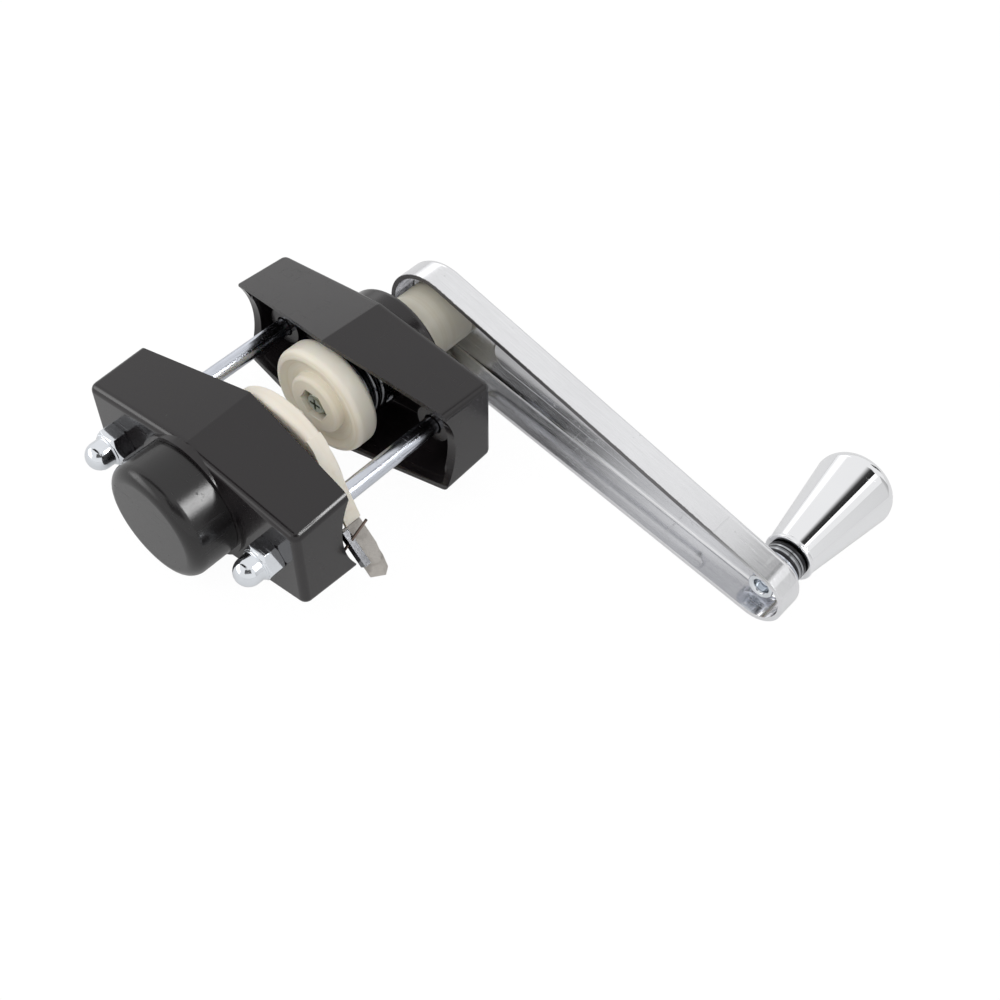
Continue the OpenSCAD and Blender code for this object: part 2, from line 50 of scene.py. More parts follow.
# Sizes in mm and angles in degrees, the same as in the part's source
HALF_LENGTH = 41
FACE_Y = 36.8
RIM_END_Y = 18.1
RIM_RIDGE_Y = 13.1
PAD_H = 0.9
CAP_R = 17.8
CAP_H = 14.2
CAP_EDGE_R = 4.0
CAP_WALL = 2.2
BOLT_X = 30
NUT_HEX_H = 5
NUT_BORE_R = 3.15
NUT_BORE_END = 46.7
GUIDE_X = 7.3
GUIDE_Z = -1.0
WIRE_D = 2.5
SPRING_R = 11.15
SPRING_Y = 17.95
SPRING_TURNS = 3.1
SPRING_PITCH = 2.65
ANCHOR_ANGLE = -35
TANG_END_Y = 32.9
ARM_ANGLE = 13
ARM_LENGTH = 125.0
ARM_RIM_Y = 54.3
KNOB_Y = 71.3
KNOB_LENGTH = 39.5
KNOB_R1 = 7.9
KNOB_R2 = 12.45
KNOB_BORE_R = 5.55
KNOB_BORE_END = 102.4
CAP_TOP = FACE_Y + PAD_H + CAP_H
NUT_HEX_Y = FACE_Y + NUT_HEX_H
KNOB_END_Y = KNOB_Y + KNOB_LENGTH
KNOB_X = ARM_LENGTH * math.cos(math.radians(ARM_ANGLE))
KNOB_Z = -ARM_LENGTH * math.sin(math.radians(ARM_ANGLE))

# Sizes in mm of what the scene shapes more finely than the source
NUT_TOP_Y = 48.7
NUT_DOME_R = 4.15
NUT_DOME_START = 0.6
NUT_DOME_FOOT = 0.4
NUT_BEAD_R = 4.7
NUT_BEAD_H = 0.45
NUT_BEAD_EDGE_R = 0.35
KNOB_DOME_R = 6.0
KNOB_RIM_R = 0.6
KNOB_GROOVE_H = 1.45
KNOB_GROOVE_R = 0.2
KNOB_GROOVE_OFFSET = 0.12
RIVET_R = 2.95
RIVET_BORE_R = 2.3
RIVET_END_Y = 66.0
RIVET_BORE_END = 61.6
RIVET_BORE_POINT = 0.8
LIP_Y = 57.6
LIP_R = 4.0
LIP_EDGE_R = 0.45
LIP_FLARE_R = 0.8
LIP_MOUTH_R = 1.0

# Tolerances of the merged meshes, in mm and degrees
SAME_POINT = 0.001
SLIVER = 0.0005
FLAT_ENOUGH = 0.4

# The least roughness of a finish and how far it wanders above that, as shares of the given one
ROUGH_LEAST = 0.82
ROUGH_SPREAD = 0.35

# Depths in mm of hair scratches and of the strap's weave
SCRATCH_DEPTH = 0.002
THREAD_DEPTH = 0.22


# Node recipes

def paint(red, green, blue):
    """Linear colour from screen values of 0 to 255."""
    def linear(value):
        value /= 255
        return value / 12.92 if value <= 0.04045 else ((value + 0.055) / 1.055) ** 2.4
    return (linear(red), linear(green), linear(blue), 1.0)


class Recipe:
    """Builds the nodes of one material, world or node group."""

    def __init__(self, tree):
        self.tree = tree

    def node(self, kind, **settings):
        made = self.tree.nodes.new("ShaderNode" + kind)
        for name, value in settings.items():
            setattr(made, name, value)
        return made

    def feed(self, node, socket, value):
        target = node.inputs[socket]
        if isinstance(value, bpy.types.NodeSocket):
            self.tree.links.new(value, target)
        else:
            target.default_value = value

    def math(self, operation, *values, clamp=False):
        made = self.node("Math", operation=operation, use_clamp=clamp)
        for index, value in enumerate(values):
            self.feed(made, index, value)
        return made.outputs[0]

    def ramp(self, value, low, high, to_low=0.0, to_high=1.0, easing="LINEAR"):
        made = self.node("MapRange", interpolation_type=easing)
        for socket, given in (("Value", value), ("From Min", low), ("From Max", high),
                              ("To Min", to_low), ("To Max", to_high)):
            self.feed(made, socket, given)
        return made.outputs[0]

    def mix(self, factor, first, second, blend="MIX"):
        made = self.node("Mix", data_type="RGBA", blend_type=blend)
        for index, value in ((0, factor), (6, first), (7, second)):
            self.feed(made, index, value)
        return made.outputs[2]

    def grey(self, value):
        """The same value in red, green and blue."""
        made = self.node("CombineColor")
        for channel in ("Red", "Green", "Blue"):
            self.feed(made, channel, value)
        return made.outputs[0]

    def blend(self, factor, first, second):
        """One shader over another."""
        made = self.node("MixShader")
        for index, value in enumerate((factor, first, second)):
            self.feed(made, index, value)
        return made.outputs[0]

    def noise(self, place, scale, detail=3.0, rough=0.5):
        made = self.node("TexNoise")
        for socket, value in (("Vector", place), ("Scale", scale), ("Detail", detail), ("Roughness", rough)):
            self.feed(made, socket, value)
        return made.outputs[0]

    def stretch(self, place, turn=(0, 0, 0), scale=(1, 1, 1)):
        made = self.node("Mapping")
        self.feed(made, "Vector", place)
        made.inputs["Rotation"].default_value = [math.radians(a) for a in turn]
        made.inputs["Scale"].default_value = scale
        return made.outputs[0]

    def place_mm(self):
        """Place on the piece in millimetres."""
        made = self.node("VectorMath", operation="SCALE")
        self.feed(made, 0, self.node("TexCoord").outputs["Object"])
        made.inputs["Scale"].default_value = 1000
        return made.outputs[0]

    def bump(self, height):
        """Normal of a surface with the given height in millimetres."""
        made = self.node("Bump")
        self.feed(made, "Strength", 1.0)
        self.feed(made, "Distance", MM)
        self.feed(made, "Height", height)
        return made.outputs[0]

    def use(self, group, **values):
        made = self.node("Group", node_tree=group)
        for name, value in values.items():
            self.feed(made, name, value)
        return made


def node_group(name, inputs, outputs):
    """A node group with named sockets, its recipe and its two end nodes."""
    tree = bpy.data.node_groups.new(name, "ShaderNodeTree")
    for label, kind, value in inputs:
        socket = tree.interface.new_socket(label, in_out="INPUT", socket_type="NodeSocket" + kind)
        if value is not None:
            socket.default_value = value
    for label, kind in outputs:
        tree.interface.new_socket(label, in_out="OUTPUT", socket_type="NodeSocket" + kind)
    start = tree.nodes.new("NodeGroupInput")
    end = tree.nodes.new("NodeGroupOutput")
    return tree, Recipe(tree), start.outputs, end


def uneven_tone_group():
    """Cloudy change of brightness over a colour."""
    tree, r, given, end = node_group(
        "uneven_tone",
        [("Colour", "Color", (1, 1, 1, 1)), ("Place", "Vector", None), ("Scale", "Float", 0.1),
         ("Amount", "Float", 0.2)],
        [("Colour", "Color")])
    cloud = r.noise(given["Place"], given["Scale"], 4.0, 0.55)
    half = r.math("MULTIPLY", given["Amount"], 2.0)
    value = r.math("MULTIPLY_ADD", r.math("SUBTRACT", cloud, 0.5), half, 1.0)
    r.feed(end, "Colour", r.mix(1.0, given["Colour"], r.grey(value), "MULTIPLY"))
    return tree


def handling_marks_group():
    """Short hair scratches in two directions, gathered in patches."""
    tree, r, given, end = node_group(
        "handling_marks", [("Place", "Vector", None), ("Scale", "Float", 1.0), ("Density", "Float", 0.5)],
        [("Mask", "Float")])
    lines = []
    for turn, size in (((20, 35, 50), (0.06, 1.9, 1.0)), ((-40, 15, -25), (1.6, 0.05, 1.1))):
        place = r.stretch(given["Place"], turn, size)
        lines.append(r.ramp(r.noise(place, given["Scale"], 2.0, 0.4), 0.66, 0.72))
    patches = r.noise(given["Place"], 0.12, 2.0)
    limit = r.math("SUBTRACT", 1.0, given["Density"])
    spread = r.ramp(patches, r.math("MULTIPLY", limit, 0.7), r.math("MULTIPLY_ADD", limit, 0.7, 0.2))
    both = r.math("MAXIMUM", *lines)
    r.feed(end, "Mask", r.math("MULTIPLY", both, spread, clamp=True))
    return tree


def fine_grain_group():
    """Even skin of a moulded or plated surface, as a height in mm."""
    tree, r, given, end = node_group(
        "fine_grain", [("Place", "Vector", None), ("Scale", "Float", 2.0), ("Depth", "Float", 0.01)],
        [("Height", "Float")])
    fine = r.noise(given["Place"], given["Scale"], 3.0, 0.6)
    broad = r.noise(given["Place"], r.math("MULTIPLY", given["Scale"], 0.12), 2.0)
    both = r.math("MULTIPLY_ADD", broad, 2.5, fine)
    r.feed(end, "Height", r.math("MULTIPLY", both, given["Depth"]))
    return tree


def drawn_lines_group():
    """Long parallel lines along the X of the given place, from drawing or rubbing."""
    tree, r, given, end = node_group(
        "drawn_lines", [("Place", "Vector", None), ("Scale", "Float", 1.0)], [("Lines", "Float")])
    long_lines = r.noise(r.stretch(given["Place"], scale=(0.02, 1, 1)), given["Scale"], 4.0, 0.65)
    short_lines = r.noise(r.stretch(given["Place"], scale=(0.12, 2.2, 2.2)), given["Scale"], 2.0)
    r.feed(end, "Lines", r.math("MULTIPLY_ADD", short_lines, 0.4, r.math("MULTIPLY", long_lines, 0.6)))
    return tree


def worn_edge_group():
    """Broken line of wear where Distance from an edge, in mm, is small."""
    tree, r, given, end = node_group(
        "worn_edge", [("Distance", "Float", 1.0), ("Width", "Float", 0.3), ("Place", "Vector", None)],
        [("Mask", "Float")])
    ragged = r.math("MULTIPLY", r.noise(given["Place"], 1.7, 4.0, 0.7), given["Width"])
    near = r.ramp(r.math("ABSOLUTE", given["Distance"]), ragged, 0.0)
    gaps = r.ramp(r.noise(given["Place"], 0.35, 2.0), 0.35, 0.6)
    r.feed(end, "Mask", r.math("MULTIPLY", near, gaps, clamp=True))
    return tree


def specks_group():
    """Scattered small spots, such as dust, pits or lint."""
    tree, r, given, end = node_group(
        "specks", [("Place", "Vector", None), ("Scale", "Float", 1.0), ("Cover", "Float", 0.1)],
        [("Mask", "Float")])
    cells = r.node("TexVoronoi")
    r.feed(cells, "Vector", given["Place"])
    r.feed(cells, "Scale", given["Scale"])
    spot = r.ramp(cells.outputs["Distance"], 0.16, 0.05)
    sparse = r.ramp(r.noise(given["Place"], 0.3, 3.0), r.math("SUBTRACT", 0.75, given["Cover"]), 0.8)
    r.feed(end, "Mask", r.math("MULTIPLY", spot, sparse, clamp=True))
    return tree


UNEVEN_TONE = uneven_tone_group()
HANDLING_MARKS = handling_marks_group()
FINE_GRAIN = fine_grain_group()
DRAWN_LINES = drawn_lines_group()
WORN_EDGE = worn_edge_group()
SPECKS = specks_group()


# Materials

def shaded(name):
    """A new material with its recipe and its shader."""
    material = bpy.data.materials.new(name)
    material.use_nodes = True
    r = Recipe(material.node_tree)
    return material, r, r.tree.nodes["Principled BSDF"]


def make_finish(name, colour, rough, metallic=0.0, tone=(0.08, 0.1), grain=(1.5, 0.004),
                marks=(1.0, 0.4, 0.12), lines=None, specks=None, wear_and_shade=None, **sockets):
    """A finish: its colour varies by tone, its gloss by marks and lines, its height by grain and lines.

    tone is (scale, amount), grain (scale, depth in mm), marks (scale, density, added roughness),
    lines (turn, scale, depth in mm, added roughness, darkening), specks (scale, cover, colour),
    wear_and_shade (function of recipe and place that gives a mask, colour, roughness), for real wear and
    rings, and for painted shade.
    """
    material, r, shader = shaded(name)
    place = r.place_mm()
    surface = r.use(UNEVEN_TONE, Colour=colour, Place=place, Scale=tone[0], Amount=tone[1]).outputs[0]
    cloud = r.noise(place, 0.25, 3.0)
    gloss = r.math("MULTIPLY_ADD", cloud, rough * ROUGH_SPREAD, rough * ROUGH_LEAST)
    scratched = r.use(HANDLING_MARKS, Place=place, Scale=marks[0], Density=marks[1]).outputs[0]
    gloss = r.math("MULTIPLY_ADD", scratched, marks[2], gloss)
    height = r.use(FINE_GRAIN, Place=place, Scale=grain[0], Depth=grain[1]).outputs[0]
    height = r.math("MULTIPLY_ADD", scratched, -SCRATCH_DEPTH, height)
    if lines:
        turn, scale, depth, added, darkening = lines
        drawn = r.use(DRAWN_LINES, Place=r.stretch(place, turn), Scale=scale).outputs[0]
        height = r.math("MULTIPLY_ADD", drawn, depth, height)
        gloss = r.math("MULTIPLY_ADD", r.ramp(drawn, 0.35, 0.75), added, gloss)
        shade = r.ramp(drawn, 0.3, 0.7, 1.0 - darkening, 1.0)
        surface = r.mix(1.0, surface, r.grey(shade), "MULTIPLY")
    if specks:
        spots = r.use(SPECKS, Place=place, Scale=specks[0], Cover=specks[1]).outputs[0]
        surface = r.mix(spots, surface, specks[2])
    # Real wear and rings on most finishes, and painted shade between the washers on the collar.
    if wear_and_shade:
        wear_and_shade_mask = wear_and_shade[0](r, place)
        surface = r.mix(wear_and_shade_mask, surface, wear_and_shade[1])
        gloss = r.math("MULTIPLY_ADD", wear_and_shade_mask, wear_and_shade[2] - rough, gloss, clamp=True)
    r.feed(shader, "Base Color", surface)
    r.feed(shader, "Roughness", gloss)
    r.feed(shader, "Metallic", metallic)
    r.feed(shader, "Normal", r.bump(height))
    for socket, value in sockets.items():
        shader.inputs[socket.replace("_", " ")].default_value = value
    return material


def split_place(r, place):
    made = r.node("SeparateXYZ")
    r.feed(made, 0, place)
    return made.outputs


def rim_wear(r, place):
    """Wear along the V-shaped rim of a housing."""
    x, y, _ = split_place(r, place)
    slope = (RIM_END_Y - RIM_RIDGE_Y) / HALF_LENGTH
    rim = r.math("MULTIPLY_ADD", r.math("ABSOLUTE", x), slope, RIM_RIDGE_Y)
    distance = r.math("SUBTRACT", r.math("ABSOLUTE", y), rim)
    return r.use(WORN_EDGE, Distance=distance, Width=0.3, Place=place).outputs[0]


def cut_edge(r, place):
    """Ragged cut edge of the pressed arm's sheet, on the upper side of its open rim."""
    depth, proud, blur = 0.7, 0.1, 0.05
    along, y, across = split_place(r, r.stretch(place, (0, -ARM_ANGLE, 0)))
    ragged = r.math("MULTIPLY_ADD", r.noise(place, 0.9, 5.0, 0.7), depth, ARM_RIM_Y - proud)
    rim = r.ramp(r.math("SUBTRACT", y, ragged), blur, -blur)
    upper = r.ramp(r.math("MULTIPLY_ADD", along, -0.06, across), 0.0, 4.0)
    rough_end = r.ramp(r.math("MULTIPLY_ADD", r.noise(place, 1.3, 3.0), 12.0, along), 4.0, -2.0)
    return r.math("MULTIPLY", rim, r.math("MAXIMUM", upper, rough_end), clamp=True)


def washer_gap_shade(r, place):
    """Painted shade in dark bands round a stack of washers on an axis along Y, where the gaps between them
    lie.
    """
    layers = r.noise(r.stretch(place, scale=(0, 1, 0)), 0.7, 1.0)
    return r.ramp(layers, 0.44, 0.5)


def ring_marks(centre_x=0.0, centre_z=0.0):
    """Mask of faint rings about an axis along Y, as a turned or moulded disc has."""
    def mask(r, place):
        x, y, z = split_place(r, place)
        across = r.math("POWER", r.math("SUBTRACT", x, centre_x), 2.0)
        up = r.math("POWER", r.math("SUBTRACT", z, centre_z), 2.0)
        radius = r.math("SQRT", r.math("ADD", across, up))
        joined = r.node("CombineXYZ")
        r.feed(joined, 0, radius)
        r.feed(joined, 1, r.math("MULTIPLY", y, 0.6))
        return r.ramp(r.noise(joined.outputs[0], 0.9, 3.0, 0.6), 0.5, 0.8, 0.0, 0.35)
    return mask


black_gloss = make_finish(
    "black_gloss_plastic", (0.0145, 0.0122, 0.0132, 1), 0.17, tone=(0.05, 0.12), grain=(1.2, 0.0025),
    marks=(1.3, 0.42, 0.16), specks=(0.35, 0.12, (0.05, 0.048, 0.046, 1)),
    wear_and_shade=(rim_wear, (0.03, 0.028, 0.028, 1), 0.3))
cap_black = make_finish(
    "black_cap_plastic", (0.0145, 0.0135, 0.014, 1), 0.2, tone=(0.06, 0.15), grain=(1.6, 0.005),
    marks=(1.1, 0.5, 0.15), specks=(0.4, 0.14, (0.06, 0.058, 0.056, 1)))
bearing_black = make_finish("bearing_plastic", (0.016, 0.016, 0.017, 1), 0.45, grain=(2.0, 0.006))
cream_nylon = make_finish(
    "cream_nylon", paint(246, 240, 226), 0.42, tone=(0.07, 0.05), grain=(0.8, 0.006), marks=(0.8, 0.4, 0.1),
    wear_and_shade=(ring_marks(), paint(214, 196, 158), 0.5), Subsurface_Weight=0.35,
    Subsurface_Radius=(1.0, 0.72, 0.45), Subsurface_Scale=0.0016)
guide_nylon = make_finish(
    "guide_nylon", paint(246, 238, 224), 0.46, tone=(0.06, 0.06), grain=(0.7, 0.008), marks=(0.7, 0.5, 0.1),
    wear_and_shade=(ring_marks(GUIDE_X, GUIDE_Z), paint(222, 206, 176), 0.5), Subsurface_Weight=0.35,
    Subsurface_Radius=(1.0, 0.75, 0.5), Subsurface_Scale=0.0016)
hub_nylon = make_finish(
    "aged_hub_nylon", paint(208, 204, 190), 0.3, tone=(0.09, 0.12), grain=(0.6, 0.008),
    marks=(0.7, 0.6, 0.14), wear_and_shade=(ring_marks(), paint(176, 162, 130), 0.4),
    Subsurface_Weight=0.25, Subsurface_Radius=(1.0, 0.7, 0.4), Subsurface_Scale=0.0014)
bright_zinc = make_finish(
    "bright_zinc", (0.70, 0.73, 0.80, 1), 0.16, 1.0, tone=(0.15, 0.1), grain=(2.5, 0.002),
    marks=(1.0, 0.5, 0.2), lines=((0, 0, 90), 2.2, 0.004, 0.12, 0.16))
dull_zinc = make_finish(
    "dull_zinc", (0.40, 0.43, 0.37, 1), 0.34, 1.0, tone=(0.4, 0.35), grain=(1.8, 0.02), marks=(1.4, 0.8, 0.2),
    specks=(0.9, 0.25, (0.15, 0.16, 0.13, 1)))
nut_chrome = make_finish(
    "nut_chrome", (0.80, 0.83, 0.87, 1), 0.07, 1.0, tone=(0.3, 0.08), grain=(1.2, 0.003),
    marks=(1.2, 0.5, 0.16))
dark_steel = make_finish(
    "oiled_black_steel", (0.16, 0.163, 0.172, 1), 0.13, 1.0, tone=(0.25, 0.25), grain=(1.2, 0.005),
    marks=(1.2, 0.6, 0.2))
arm_chrome = make_finish(
    "arm_chrome", (0.87, 0.873, 0.89, 1), 0.11, 1.0, tone=(0.05, 0.05), grain=(0.3, 0.0012),
    marks=(0.5, 0.5, 0.12), lines=((0, -ARM_ANGLE, 0), 1.6, 0.0035, 0.1, 0.1),
    specks=(0.45, 0.16, (0.30, 0.30, 0.31, 1)), wear_and_shade=(cut_edge, (0.22, 0.215, 0.22, 1), 0.5))
knob_chrome = make_finish(
    "knob_chrome", (0.90, 0.905, 0.92, 1), 0.045, 1.0, tone=(0.06, 0.03), grain=(0.25, 0.002),
    marks=(0.6, 0.35, 0.08))
# Its dark bands are painted shade in the gaps between the collar's washers.
collar_chrome = make_finish(
    "collar_chrome", (0.42, 0.43, 0.45, 1), 0.14, 1.0, tone=(0.3, 0.25), grain=(1.0, 0.004),
    wear_and_shade=(washer_gap_shade, (0.03, 0.03, 0.032, 1), 0.3))
bronze = make_finish("sintered_bronze", (0.52, 0.36, 0.18, 1), 0.42, 1.0, tone=(0.3, 0.2), grain=(3.0, 0.01))
brown_steel = make_finish(
    "browned_steel", (0.22, 0.165, 0.14, 1), 0.3, 0.85, tone=(0.6, 0.35), grain=(2.0, 0.008),
    marks=(1.5, 0.6, 0.2))


def woven_tab_finish():
    """Grey-white woven strap end, seen thread by thread."""
    material, r, shader = shaded("woven_tab")
    place = r.place_mm()
    weave = r.stretch(place, turn=(0, 42, 0), scale=(1, 3, 3))
    threads = r.use(DRAWN_LINES, Place=weave, Scale=2.4).outputs[0]
    dirt = r.noise(place, 0.35, 4.0)
    colour = r.mix(r.ramp(threads, 0.3, 0.7), paint(150, 144, 138), paint(226, 221, 214))
    colour = r.mix(r.ramp(dirt, 0.5, 0.8, 0.0, 0.7), colour, paint(122, 114, 106))
    r.feed(shader, "Base Color", colour)
    r.feed(shader, "Roughness", r.ramp(threads, 0.2, 0.8, 0.75, 0.55))
    r.feed(shader, "Normal", r.bump(r.math("MULTIPLY", threads, THREAD_DEPTH)))
    shader.inputs["Sheen Weight"].default_value = 0.3
    return material


woven_tab = woven_tab_finish()


# Making of pieces

def at(radius, angle, y, centre=(0.0, 0.0)):
    """Point in metres at an angle about the crank axis, from +X towards +Z."""
    a = math.radians(angle)
    return Vector(((centre[0] + radius * math.cos(a)) * MM, y * MM, (centre[1] + radius * math.sin(a)) * MM))


def smooth_by_angle(bm, limit):
    """Smooth faces, with a sharp edge wherever two faces meet at more than the limit."""
    for face in bm.faces:
        face.smooth = True
    for edge in bm.edges:
        edge.smooth = not (len(edge.link_faces) == 2 and edge.calc_face_angle(0) > math.radians(limit))


def stand_piece(name, bm, material, body, nodes=(), sharp=30, edge=0.0):
    """Makes the piece from its bmesh; edge is the width in mm of a bevel on its sharp edges."""
    smooth_by_angle(bm, sharp)
    mesh = bpy.data.meshes.new(name)
    bm.to_mesh(mesh)
    bm.free()
    mesh.materials.append(material)
    piece = bpy.data.objects.new(name, mesh)
    scene.collection.objects.link(piece)
    if edge:
        bevel = piece.modifiers.new("edge", "BEVEL")
        bevel.width = edge * MM
        bevel.segments = 2
        bevel.limit_method = "ANGLE"
        bevel.angle_limit = math.radians(sharp)
        bevel.harden_normals = True
    weighted = piece.modifiers.new("flat_faces", "WEIGHTED_NORMAL")
    weighted.keep_sharp = True
    weighted.weight = 80
    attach(piece, body)
    if nodes:
        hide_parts(*nodes)
    return piece


def merged(node):
    """A copy of the CAD node's mesh, with its loose triangles joined into whole faces."""
    bm = bmesh.new()
    bm.from_mesh(frame["nodes"][node].data)
    bmesh.ops.remove_doubles(bm, verts=bm.verts, dist=SAME_POINT * MM)
    bmesh.ops.dissolve_degenerate(bm, dist=SLIVER * MM, edges=bm.edges)
    bmesh.ops.dissolve_limit(bm, angle_limit=math.radians(FLAT_ENOUGH), verts=bm.verts, edges=bm.edges)
    return bm


def dress(node, material, sharp=30, edge=0.0):
    """Shows a CAD node as one clean, smooth mesh."""
    record = frame["record"]
    body = next(name for name, nodes in record["behaviour"]["bodies"].items() if node in nodes)
    return stand_piece("shown_" + node, merged(node), material, body, [node], sharp, edge)


def arc(centre_r, centre_y, radius, start, end, steps=12):
    """Profile points on an arc; an angle of 0 points away from the axis and 90 towards +Y."""
    points = []
    for i in range(steps + 1):
        a = math.radians(start + (end - start) * i / steps)
        points.append((centre_r + radius * math.cos(a), centre_y + radius * math.sin(a)))
    return points


def turned(profile, centre=(0.0, 0.0), steps=128):
    """A body of revolution about an axis along Y, from a closed profile of (radius, y) in mm."""
    bm = bmesh.new()
    corners = [bm.verts.new(at(radius, 0, y, centre)) for radius, y in profile]
    edges = [bm.edges.new((a, b)) for a, b in zip(corners, corners[1:] + corners[:1])]
    bmesh.ops.spin(bm, geom=corners + edges, cent=at(0, 0, 0, centre), axis=(0, 1, 0),
                   angle=2 * math.pi, steps=steps, use_merge=True, dvec=(0, 0, 0))
    bmesh.ops.remove_doubles(bm, verts=bm.verts, dist=SLIVER * MM)
    bmesh.ops.recalc_face_normals(bm, faces=bm.faces)
    return bm


def edges_of(geometry):
    """The edges in what a bmesh operator gives back."""
    return [g for g in geometry if isinstance(g, bmesh.types.BMEdge)]


def join(bm, other):
    """Adds another mesh's faces to bm and frees it."""
    mesh = bpy.data.meshes.new("joined")
    other.to_mesh(mesh)
    other.free()
    bm.from_mesh(mesh)
    bpy.data.meshes.remove(mesh)


# The housings

def facing_front(profile):
    """The same profile on the front half, whose parts look towards -Y."""
    return [(radius, -y) for radius, y in profile]


def front_cap():
    """Round hollow cap with a soft edge, open at its pad."""
    edge_r, edge_y = CAP_R - CAP_EDGE_R, CAP_TOP - CAP_EDGE_R
    profile = [(CAP_R, FACE_Y + PAD_H)]
    profile += arc(edge_r, edge_y, CAP_EDGE_R, 0, 90)
    profile += [(0, CAP_TOP), (0, CAP_TOP - CAP_WALL)]
    profile += arc(edge_r, edge_y, CAP_EDGE_R - CAP_WALL, 90, 0)
    profile += [(CAP_R - CAP_WALL, FACE_Y + PAD_H)]
    return turned(facing_front(profile))


def acorn_nut(node, bolt_x):
    """Chamfered hexagon of the CAD nut under a turned dome with a bead round its foot."""
    bm = merged(node)
    every = bm.verts[:] + bm.edges[:] + bm.faces[:]
    cut = bmesh.ops.bisect_plane(bm, geom=every, plane_co=(0, -NUT_HEX_Y * MM, 0), plane_no=(0, -1, 0),
                                 clear_outer=True)["geom_cut"]
    bmesh.ops.bridge_loops(bm, edges=edges_of(cut))
    foot_y = NUT_HEX_Y - NUT_DOME_FOOT
    bead_y = NUT_HEX_Y + NUT_BEAD_H - NUT_BEAD_EDGE_R
    profile = [(NUT_BORE_R, foot_y), (NUT_BEAD_R, foot_y)]
    profile += arc(NUT_BEAD_R - NUT_BEAD_EDGE_R, bead_y, NUT_BEAD_EDGE_R, 0, 90, 6)
    profile += [(NUT_DOME_R, NUT_HEX_Y + NUT_DOME_START)]
    profile += arc(0, NUT_TOP_Y - NUT_DOME_R, NUT_DOME_R, 0, 90, 24)
    profile += [(0, NUT_BORE_END), (NUT_BORE_R, NUT_BORE_END)]
    join(bm, turned(facing_front(profile), (bolt_x, 0), 64))
    stand_piece("acorn_" + node, bm, nut_chrome, "front_half", [node], sharp=28, edge=0.22)


dress("front_housing", black_gloss, sharp=24, edge=0.3)
dress("rear_housing", black_gloss, sharp=24, edge=0.3)
stand_piece("front_cap_shell", front_cap(), cap_black, "front_half", ["front_cap"],
            edge=0.15)
acorn_nut("cap_nut_a", -BOLT_X)
acorn_nut("cap_nut_b", BOLT_X)
for bolt in ("bolt_a", "bolt_b"):
    dress(bolt, bright_zinc, edge=0.15)
dress("front_bush", bronze, edge=0.15)
dress("rear_bush", bearing_black, edge=0.15)
dress("thrust_washer", bright_zinc, edge=0.1)
dress("spool_clip", bright_zinc, edge=0.08)


# Spools, guide and its tab

dress("rear_spool", cream_nylon, sharp=35, edge=0.15)
dress("front_spool", cream_nylon, edge=0.15)
dress("cord_guide", guide_nylon, sharp=28, edge=0.15)
dress("spool_screw", dull_zinc, edge=0.08)
dress("drive_shaft", dull_zinc, edge=0.15)
dress("brake_drum", dark_steel, edge=0.1)
dress("cord_pin", brown_steel)
dress("cord_clip", dark_steel, edge=0.05)
dress("cord_tab", woven_tab)


# The brake spring

def coil_spring():
    """Round wire wound about the drum, whose last turn bends into the housing."""
    wire_sides, turn_steps, bend_steps = 20, 56, 10
    bm = bmesh.new()
    start = ANCHOR_ANGLE - 360 * SPRING_TURNS
    ring = bmesh.ops.create_circle(bm, segments=wire_sides, radius=WIRE_D / 2 * MM)["verts"]
    bmesh.ops.translate(bm, verts=ring, vec=(SPRING_R * MM, SPRING_Y * MM, 0))
    bmesh.ops.rotate(bm, verts=ring, cent=(0, 0, 0), matrix=Matrix.Rotation(-math.radians(start), 3, "Y"))
    first = list(bm.edges)
    steps = round(SPRING_TURNS * turn_steps)
    rise = SPRING_TURNS * SPRING_PITCH
    coil = bmesh.ops.spin(bm, geom=ring + first, cent=(0, 0, 0), axis=(0, -1, 0),
                          angle=math.radians(360 * SPRING_TURNS), steps=steps,
                          dvec=(0, rise / steps * MM, 0))["geom_last"]
    a = math.radians(ANCHOR_ANGLE)
    along = Vector((-math.sin(a), 0, math.cos(a)))
    bend_centre = at(SPRING_R, ANCHOR_ANGLE, SPRING_Y + rise + WIRE_D)
    bend = bmesh.ops.spin(bm, geom=coil, cent=bend_centre, axis=along.cross(Vector((0, 1, 0))),
                          angle=math.pi / 2, steps=bend_steps)["geom_last"]
    tang_length = TANG_END_Y - (SPRING_Y + rise + WIRE_D)
    end = bmesh.ops.extrude_edge_only(bm, edges=edges_of(bend))["geom"]
    tip = [g for g in end if isinstance(g, bmesh.types.BMVert)]
    bmesh.ops.translate(bm, verts=tip, vec=(0, tang_length * MM, 0))
    open_edges = [e for e in bm.edges if len(e.link_faces) == 1]
    bmesh.ops.holes_fill(bm, edges=open_edges, sides=0)
    bmesh.ops.recalc_face_normals(bm, faces=bm.faces)
    return bm


stand_piece("wrap_spring", coil_spring(), dark_steel, "clamp_body", ["brake_spring"], sharp=50)


# Hub, arm and knob

dress("crank_hub", hub_nylon, sharp=35, edge=0.1)
dress("crank_arm", arm_chrome, sharp=32, edge=0.1)
dress("arm_washer", bright_zinc, edge=0.12)
dress("arm_screw", bright_zinc, edge=0.15)
dress("knob_pin", bright_zinc, sharp=35, edge=0.1)
dress("knob_washer", bright_zinc, edge=0.15)
dress("knob_collar", collar_chrome, edge=0.12)
dress("knob_bush", cream_nylon, edge=0.1)


